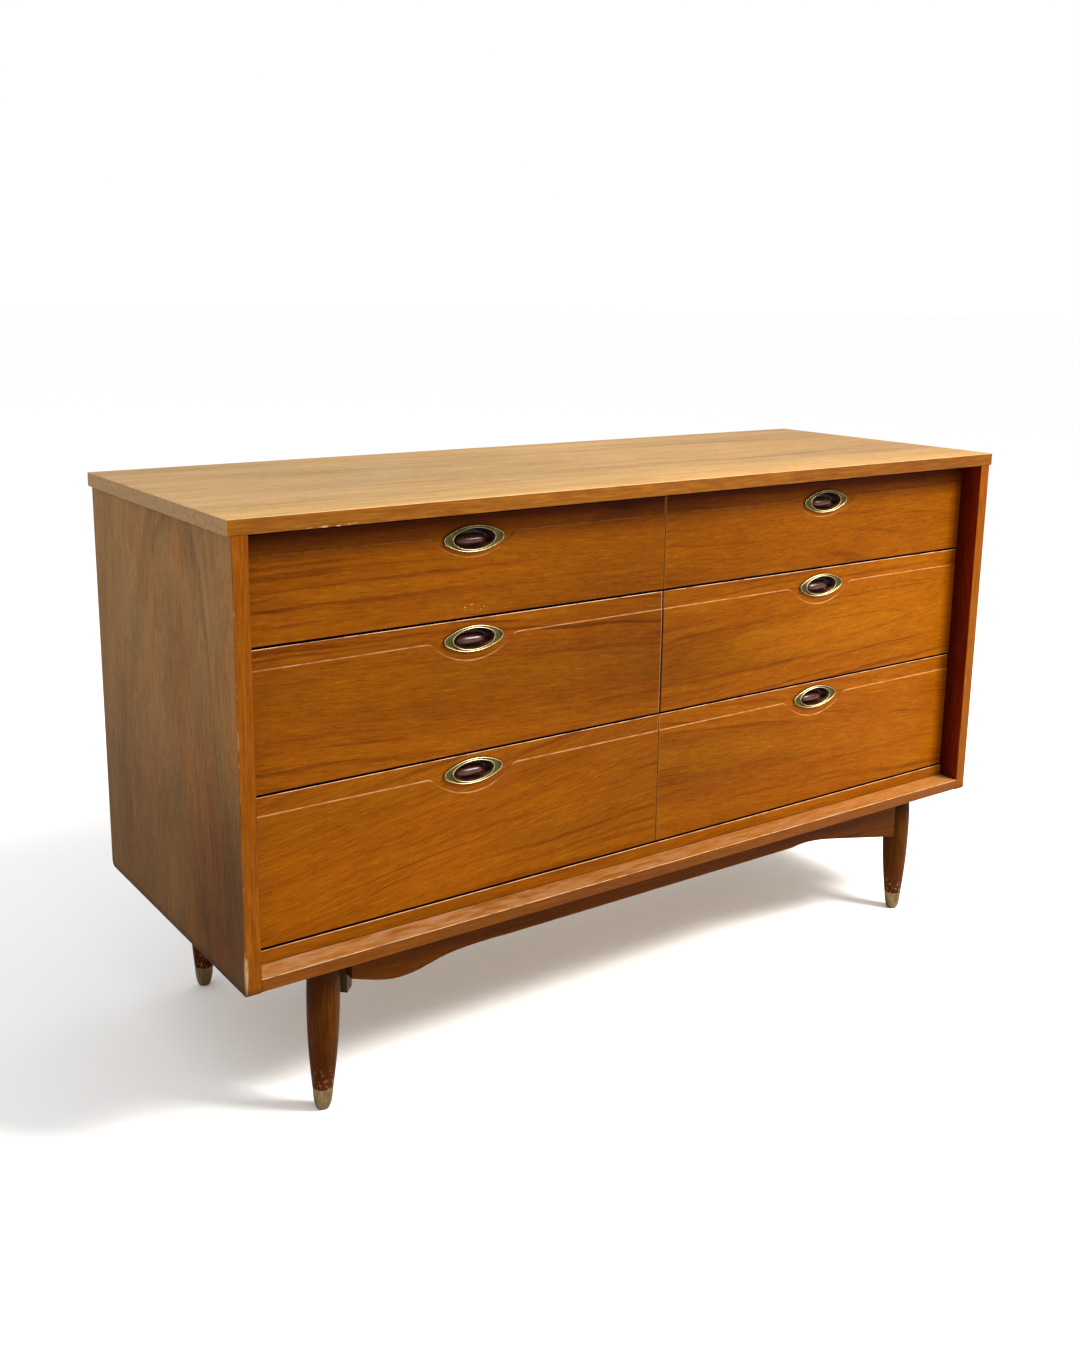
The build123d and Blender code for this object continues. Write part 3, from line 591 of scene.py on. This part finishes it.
def leg_finish():
    """Dark turned legs, mottled, with painted shade near their heads under the case and the finish knocked
    off in specks just above the ferrules.
    """
    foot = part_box("leg_ferrules")[1].z
    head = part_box("leg_front_left")[1].z
    wood, colour = walnut("walnut_leg", "z", "x", 15, LEG_TONES, bands=0.4, lines=0.1, streaks=0.3)
    mottle = wood.window(wood.noise(wood.point, (28.0, 28.0, 18.0), 4.0, 0.6), 0.35, 0.65)
    colour = wood.tint(wood.product(mottle, 0.6), colour, MOTTLE_TINT)
    # painted shade near the head of each leg, under the case
    shaded = wood.window(wood.z, head - 75 * MM, head - 10 * MM, 0.0, 0.8)
    colour = wood.tint(shaded, colour, LEG_TOP_SHADE_TINT)
    ruddy = wood.window(wood.z, foot + 10 * MM, foot + 75 * MM, 0.8, 0.0)
    colour = wood.tint(ruddy, colour, LEG_FOOT_TINT)
    low = wood.window(wood.z, foot, foot + 45 * MM, 1.0, 0.0)
    speck = wood.window(wood.noise(wood.point, (240.0, 240.0, 190.0), 4.0, 0.7), 0.53, 0.64)
    colour = wood.mix(wood.product(low, speck, 0.75), colour, LEG_BARE)
    return lacquer(wood, colour, gloss=0.3)


# ---------------------------------------------------------------- plain wood inside and underneath
# dark tones: painted shade on the apron, a dark stain on the back and base rails
APRON_TONES = ((0.035, 0.008, 0.0004), (0.062, 0.015, 0.0006), (0.095, 0.027, 0.002))
BLOCK_TONES = ((0.022, 0.008, 0.0008), (0.048, 0.018, 0.002), (0.080, 0.033, 0.004))
INNER_TONES = ((0.22, 0.13, 0.06), (0.36, 0.24, 0.13), (0.46, 0.33, 0.20))
DRAWER_TONES = ((0.30, 0.19, 0.095), (0.44, 0.31, 0.17), (0.54, 0.40, 0.25))
BOTTOM_TONES = ((0.20, 0.12, 0.055), (0.32, 0.20, 0.10), (0.42, 0.28, 0.16))
DRAWER_GLOSS = 0.42


def plain_wood(name, along, across, seed, tones, gloss=0.55, lines=0.4):
    """Wood without wear, with a dull surface."""
    wood, colour = walnut(name, along, across, seed, tones, lines=lines)
    return lacquer(wood, colour, gloss=gloss, specular=0.2)


def apron_finish():
    """The shaped apron, painted dark for the shade of the ledge."""
    wood, colour = walnut("walnut_apron", "x", "z", 16, APRON_TONES)
    return lacquer(wood, colour)


def finish_case():
    """Every wooden part that stays still."""
    set_material("top_panel", top_finish())
    set_material("side_panel_left", side_finish("left", 12))
    set_material("side_panel_right", side_finish("right", 13))
    set_material("front_ledge", ledge_finish())
    set_material("bottom_rail", rail_finish())
    set_material("front_apron", apron_finish())
    leg = leg_finish()
    for end in ("front", "back"):
        for column in COLUMNS:
            set_material(f"leg_{end}_{column}", leg)
    set_material("corner_blocks", plain_wood("dark_block", "z", "x", 17, BLOCK_TONES))
    across_case = plain_wood("inner_wood_across", "x", "y", 18, INNER_TONES)
    front_to_back = plain_wood("inner_wood_deep", "y", "x", 19, INNER_TONES)
    for node in ("floor_board", "top_stretchers", "upper_web_rails", "lower_web_rails"):
        set_material(node, across_case)
    for node in ("drawer_runners", "drawer_guides"):
        set_material(node, front_to_back)
    set_material("back_rail", plain_wood("stained_rail_across", "x", "z", 25, APRON_TONES))
    set_material("base_side_rails", plain_wood("stained_rail_deep", "y", "z", 26, APRON_TONES))
    set_material("centre_partition", plain_wood("inner_wood_upright", "y", "z", 20, INNER_TONES))


def finish_boxes():
    """The drawer boxes behind the fronts."""
    side = plain_wood("drawer_wood_sides", "y", "z", 21, DRAWER_TONES, DRAWER_GLOSS)
    back = plain_wood("drawer_wood_backs", "x", "z", 22, DRAWER_TONES, DRAWER_GLOSS)
    bottom = plain_wood("drawer_bottom", "x", "y", 23, BOTTOM_TONES, DRAWER_GLOSS, lines=0.8)
    for row in ROWS:
        for column in COLUMNS:
            set_material(f"drawer_sides_{row}_{column}", side)
            set_material(f"drawer_back_{row}_{column}", back)
            set_material(f"drawer_bottom_{row}_{column}", bottom)


# ---------------------------------------------------------------- board, metal and plastic
HARDBOARD_TONES = ((0.10, 0.050, 0.022), (0.18, 0.098, 0.048), (0.27, 0.16, 0.085))
STEEL_TONES = ((0.20, 0.18, 0.16), (0.38, 0.36, 0.34), (0.55, 0.54, 0.52))
FERRULE_TONES = ((0.07, 0.045, 0.017), (0.15, 0.100, 0.042), (0.27, 0.19, 0.09))
UNDERSIDE_SHADE_TINT = (0.16, 0.15, 0.09)
DUST = (0.10, 0.07, 0.05)


def hardboard():
    """Pressed fibre board: mottled brown with fine flecks."""
    sheet = Graph("hardboard")
    point = sheet.place()
    cloud = sheet.noise(point, (6.0, 6.0, 6.0), 4.0, 0.6)
    fleck = sheet.noise(point, (420.0, 420.0, 420.0), 3.0, 0.7)
    tone = sheet.math("ADD", sheet.product(cloud, 0.5), sheet.product(fleck, 0.5))
    colour = sheet.ramp(tone, tuple(zip((0.3, 0.5, 0.75), HARDBOARD_TONES)))
    return sheet.finish(Base_Color=colour, Roughness=sheet.window(cloud, 0.2, 0.8, 0.5, 0.72),
                        Normal=sheet.bump(fleck, 0.15 * MM, 0.6), Specular_IOR_Level=0.3)


def metal(name, tones, shine, grime, relief, brushed=(180.0, 180.0, 180.0), underside_shade=0.0):
    """Aged metal: tarnish clouds, fine scratches, a dull film in places, and painted shade that darkens the
    undersides.
    """
    skin = Graph(name)
    point = skin.place()
    tarnish = skin.noise(point, (55.0, 55.0, 55.0), 4.0, 0.6)
    scratch = skin.noise(point, brushed, 3.0, 0.6)
    tone = skin.math("ADD", skin.product(tarnish, 0.65), skin.product(scratch, 0.35))
    colour = skin.ramp(tone, tuple(zip((0.32, 0.5, 0.7), tones)))
    if underside_shade:
        # painted shade on the faces that turn down
        normal = skin.tree.nodes.new("ShaderNodeNewGeometry").outputs["Normal"]
        under = skin.window(skin.split(normal)[2], -0.15, 0.35, underside_shade, 0.0)
        colour = skin.tint(under, colour, UNDERSIDE_SHADE_TINT)
    rough = skin.math("ADD", skin.product(tarnish, grime), shine)
    return skin.finish(Base_Color=colour, Roughness=rough, Metallic=1.0,
                       Normal=skin.bump(scratch, 0.04 * MM, relief))


def cup_plastic(name, tones, shine, specular):
    """Dark red-brown moulding with faint dust."""
    skin = Graph(name)
    point = skin.place()
    cloud = skin.noise(point, (120.0, 120.0, 120.0), 3.0)
    dust = skin.window(skin.noise(point, (900.0, 900.0, 900.0), 2.0), 0.62, 0.75)
    colour = skin.ramp(cloud, tuple(zip((0.3, 0.7), tones)))
    colour = skin.mix(skin.product(dust, 0.12), colour, DUST)
    return skin.finish(Base_Color=colour, Roughness=skin.window(cloud, 0.2, 0.8, shine, shine + 0.1),
                       Normal=skin.bump(cloud, 0.1 * MM, 0.2), Specular_IOR_Level=specular)


def finish_hardware():
    """The back panel and the small metal parts."""
    set_material("back_panel", hardboard())
    steel = metal("steel", STEEL_TONES, shine=0.30, grime=0.3, relief=0.4)
    for node in ("back_panel_nails", "leg_studs"):
        set_material(node, steel)
    brass = metal("ferrule_brass", FERRULE_TONES, shine=0.42, grime=0.25, relief=0.6,
                  brushed=(300.0, 300.0, 30.0))
    set_material("leg_ferrules", brass)


# ---------------------------------------------------------------- pulls
PULL_HALF_LENGTH = 45.0 * MM
PULL_HALF_HEIGHT = 17.25 * MM
PULL_TIP = 6.5 * MM
OPENING_HALF_LENGTH = 31.0 * MM
OPENING_HALF_HEIGHT = 13.5 * MM
AROUND = 144                # points round a pull
RIM_TONES = ((0.46, 0.36, 0.17), (0.68, 0.56, 0.31), (0.82, 0.72, 0.47))
# the dish brass is painted dark, as a dim reflection
DISH_TONES = ((0.045, 0.038, 0.010), (0.085, 0.074, 0.020), (0.15, 0.13, 0.045))
# the hollow is painted darker than the grip, as shade inside the cup
HOLLOW_SHADE_TONES = ((0.006, 0.002, 0.001), (0.014, 0.004, 0.003))
GRIP_TONES = ((0.028, 0.006, 0.003), (0.055, 0.012, 0.006))
# section of the brass frame from its outer foot to inside the opening, in millimetres: distance from
# the outer edge (rim), share of the way between the two rims (dish) or distance from the inner edge
# (ring), with the height above the drawer front
RIM = ((0.00, 0.0), (0.00, 1.5), (0.10, 2.3), (0.32, 2.95), (0.65, 3.3), (1.0, 3.3), (1.35, 3.0), (1.6, 2.6))
DISH = ((0.12, 2.15), (0.3, 1.85), (0.5, 1.75), (0.7, 1.85), (0.88, 2.2))
RING = ((1.55, 2.7), (1.3, 3.2), (1.0, 3.55), (0.7, 3.65), (0.4, 3.5), (0.15, 3.05), (0.0, 2.4), (0.0, 0.9),
        (0.15, -0.6))
RIM_CREST = range(2, len(RIM) - 1)
RING_CREST = range(len(RIM) + len(DISH), len(RIM) + len(DISH) + 6)


def oval_reach(angle):
    """Distance from a pull's middle to its outline: two flat arcs joined by small round tips."""
    cos, sin = abs(math.cos(angle)), abs(math.sin(angle))
    a, b, tip = PULL_HALF_LENGTH, PULL_HALF_HEIGHT, PULL_TIP
    flank = (a * a + b * b - 2 * a * tip) / (2 * (b - tip))
    drop = flank - b
    tip_x = a - tip
    join = math.hypot(tip_x, drop)
    join_angle = math.atan2(tip * drop / join, tip_x + tip * tip_x / join)
    if math.atan2(sin, cos) < join_angle:
        return tip_x * cos + math.sqrt(tip * tip - (tip_x * sin) ** 2)
    return -drop * sin + math.sqrt(flank * flank - (drop * cos) ** 2)


def frame_section(turn):
    """Points (x, z, height) across the brass frame at one place round it."""
    inner = Vector((OPENING_HALF_LENGTH * math.cos(turn), OPENING_HALF_HEIGHT * math.sin(turn)))
    angle = math.atan2(inner.y, inner.x)
    outer = Vector((math.cos(angle), math.sin(angle))) * oval_reach(angle)
    width = (outer - inner).length
    inward = (inner - outer) / width
    rim_end = RIM[-1][0] * MM
    ring_start = width - RING[0][0] * MM
    steps = [(gap * MM, height) for gap, height in RIM]
    steps += [(rim_end + share * (ring_start - rim_end), height) for share, height in DISH]
    steps += [(width - gap * MM, height) for gap, height in RING]
    return [(*(outer + inward * gap), height * MM) for gap, height in steps]


def grid_mesh(name, rows, material_of):
    """A closed tube of quads through rows of points; each row wraps round."""
    mesh = bpy.data.meshes.new(name)
    count = len(rows[0])
    points = [point for row in rows for point in row]
    faces = []
    kinds = []
    for r in range(len(rows) - 1):
        for i in range(count):
            j = (i + 1) % count
            faces.append((r * count + i, r * count + j, (r + 1) * count + j, (r + 1) * count + i))
            kinds.append(material_of(r))
    mesh.from_pydata(points, [], faces)
    mesh.polygons.foreach_set("material_index", kinds)
    mesh.polygons.foreach_set("use_smooth", [True] * len(faces))
    mesh.update()
    return mesh


def bezel_mesh():
    """The brass frame about (0, 0), facing -Y, its foot on y = 0."""
    sections = [frame_section(2 * math.pi * i / AROUND) for i in range(AROUND)]
    rows = [[(s[k][0], -s[k][2], s[k][1]) for s in sections] for k in range(len(sections[0]))]

    # crests take the bright brass; the dish and the walls take the brass painted dark as a dim reflection
    def crest_else_dark(row):
        return 0 if row in RIM_CREST or row in RING_CREST else 1

    return grid_mesh("pull_bezel", rows, crest_else_dark)


CUP_EDGE = 0.4 * MM
CUP_DEPTH = 12.5 * MM
GRIP_MIDDLE = -3.4 * MM
GRIP_RADIUS = 7.6 * MM
GRIP_HALF_LENGTH = 24.5 * MM
GRIP_RISE = 10.6 * MM
CUP_RINGS = 40


def cup_depth(x, z, share):
    """Depth of the cup's inside at a point; share is 0 in the middle and 1 at the edge."""
    hollow = CUP_DEPTH * (1.0 - share ** 9)
    end = (abs(x) / GRIP_HALF_LENGTH) ** 1.7
    off = math.hypot((z - GRIP_MIDDLE) / GRIP_RADIUS, end)
    bulge = GRIP_RISE * max(0.0, 1.0 - off ** 2) ** 0.5
    return max(0.6 * MM, min(hollow, CUP_DEPTH - bulge))


def cup_mesh():
    """The finger cup about (0, 0), facing -Y: a deep hollow (material 0, painted darker for the shade inside
    it) over a rounded grip (1).
    """
    rows = []
    for k in range(CUP_RINGS + 1):
        share = math.sin(math.pi / 2 * (1.0 - k / CUP_RINGS))
        row = []
        for i in range(AROUND):
            turn = 2 * math.pi * i / AROUND
            x = share * (OPENING_HALF_LENGTH - CUP_EDGE) * math.cos(turn)
            z = share * (OPENING_HALF_HEIGHT - CUP_EDGE) * math.sin(turn)
            row.append((x, cup_depth(x, z, share), z))
        rows.append(row)
    mesh = grid_mesh("pull_cup", rows, lambda row: 0)
    for face in mesh.polygons:
        reach = abs(face.center.z - GRIP_MIDDLE) < GRIP_RADIUS and abs(face.center.x) < GRIP_HALF_LENGTH
        if reach and face.center.y < CUP_DEPTH - 1.5 * MM:
            face.material_index = 1
    return mesh


def place_piece(name, mesh, at, node, body):
    """Put one copy of a piece where its CAD node is and let it move with its drawer."""
    piece = bpy.data.objects.new(name, mesh)
    bpy.context.collection.objects.link(piece)
    piece.location = at
    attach(piece, body)
    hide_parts(node)


def add_pulls():
    """A brass frame and a finger cup on each drawer."""
    bezel = bezel_mesh()
    bezel.materials.append(metal("pull_brass_rim", RIM_TONES, 0.36, 0.15, 0.03, underside_shade=0.9))
    bezel.materials.append(metal("pull_brass_dish", DISH_TONES, 0.34, 0.25, 0.08, underside_shade=0.6))
    cup = cup_mesh()
    cup.materials.append(cup_plastic("pull_cup_hollow_shade", HOLLOW_SHADE_TONES, shine=0.38, specular=0.2))
    cup.materials.append(cup_plastic("pull_cup_grip", GRIP_TONES, shine=0.22, specular=0.3))
    for row in ROWS:
        for column in COLUMNS:
            place = f"{row}_{column}"
            low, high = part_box(f"pull_bezel_{place}")
            face_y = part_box(f"pull_cup_{place}")[0].y
            at = Vector(((low.x + high.x) / 2, face_y, (low.z + high.z) / 2))
            body = f"drawer_{place}"
            place_piece(f"brass_frame_{place}", bezel, at, f"pull_bezel_{place}", body)
            place_piece(f"finger_cup_{place}", cup, at, f"pull_cup_{place}", body)


# ---------------------------------------------------------------- camera, floor and light
CAMERA_PLACE = (-1.2544, -1.6598, 1.0222)
CAMERA_TURN = 35.22             # degrees from straight ahead toward the right
CAMERA_DROP = 12.305            # degrees below level
CAMERA_ROLL = 0.716
CAMERA_LENS = 37.294
CAMERA_SHIFT = (0.0054, -0.0581)
LAMP_TARGET = (0.0, 0.0, 0.45)
LAMP_SIDE = (0.478, -0.569, 0.669)      # from the target toward the lamp
LAMP_DISTANCE = 3.0
LAMP_WIDTH = 0.9
LAMP_POWER = 165.0
LAMP_COLOUR = (1.0, 0.965, 0.91)
WORLD_COLOUR = (1.0, 1.0, 1.0, 1.0)
WORLD_STRENGTH = 1.0
FLOOR_HALF = 60.0
FLOOR_TONES = ((0.98, 0.98, 0.98), (0.99, 0.99, 0.99))


def add_camera():
    """The photo's view, from the front left and a little above the top."""
    data = bpy.data.cameras.new("camera")
    data.lens = CAMERA_LENS
    data.shift_x, data.shift_y = CAMERA_SHIFT
    camera = bpy.data.objects.new("camera", data)
    bpy.context.collection.objects.link(camera)
    turn, drop = math.radians(CAMERA_TURN), math.radians(CAMERA_DROP)
    ahead = Vector((math.sin(turn) * math.cos(drop), math.cos(turn) * math.cos(drop), -math.sin(drop)))
    camera.rotation_mode = "QUATERNION"
    roll = Quaternion((0, 0, 1), math.radians(CAMERA_ROLL))
    camera.rotation_quaternion = ahead.to_track_quat("-Z", "Y") @ roll
    camera.location = CAMERA_PLACE
    bpy.context.scene.camera = camera


def add_lamp():
    """One soft lamp in front of the dresser, high on the right."""
    data = bpy.data.lights.new("key", "AREA")
    data.shape = "RECTANGLE"
    data.size = LAMP_WIDTH
    data.size_y = LAMP_WIDTH
    data.energy = LAMP_POWER
    data.color = LAMP_COLOUR
    lamp = bpy.data.objects.new("key", data)
    bpy.context.collection.objects.link(lamp)
    target = Vector(LAMP_TARGET)
    lamp.location = target + Vector(LAMP_SIDE) * LAMP_DISTANCE
    lamp.rotation_mode = "QUATERNION"
    lamp.rotation_quaternion = (target - lamp.location).to_track_quat("-Z", "Y")


def add_world():
    """Even white light from all round."""
    world = bpy.data.worlds.new("studio")
    world.use_nodes = True
    back = world.node_tree.nodes["Background"]
    back.inputs["Color"].default_value = WORLD_COLOUR
    back.inputs["Strength"].default_value = WORLD_STRENGTH
    bpy.context.scene.world = world


def add_floor():
    """A wide pale floor."""
    mesh = bpy.data.meshes.new("floor")
    corners = [(x * FLOOR_HALF, y * FLOOR_HALF, 0) for x, y in ((-1, -1), (1, -1), (1, 1), (-1, 1))]
    mesh.from_pydata(corners, [], [(0, 1, 2, 3)])
    floor = bpy.data.objects.new("floor", mesh)
    bpy.context.collection.objects.link(floor)
    paint = Graph("floor_paint")
    grain = paint.noise(paint.place(), (3.0, 3.0, 3.0), detail=4.0)
    colour = paint.ramp(grain, tuple(zip((0.0, 1.0), FLOOR_TONES)))
    mesh.materials.append(paint.finish(Base_Color=colour, Roughness=0.9, Specular_IOR_Level=0.0))


def set_view():
    """Plain colours, without a film look."""
    view = bpy.context.scene.view_settings
    view.view_transform = "Standard"
    view.look = "None"


finish_fronts()
finish_case()
finish_boxes()
finish_hardware()
add_pulls()
add_camera()
add_lamp()
add_world()
add_floor()
set_view()
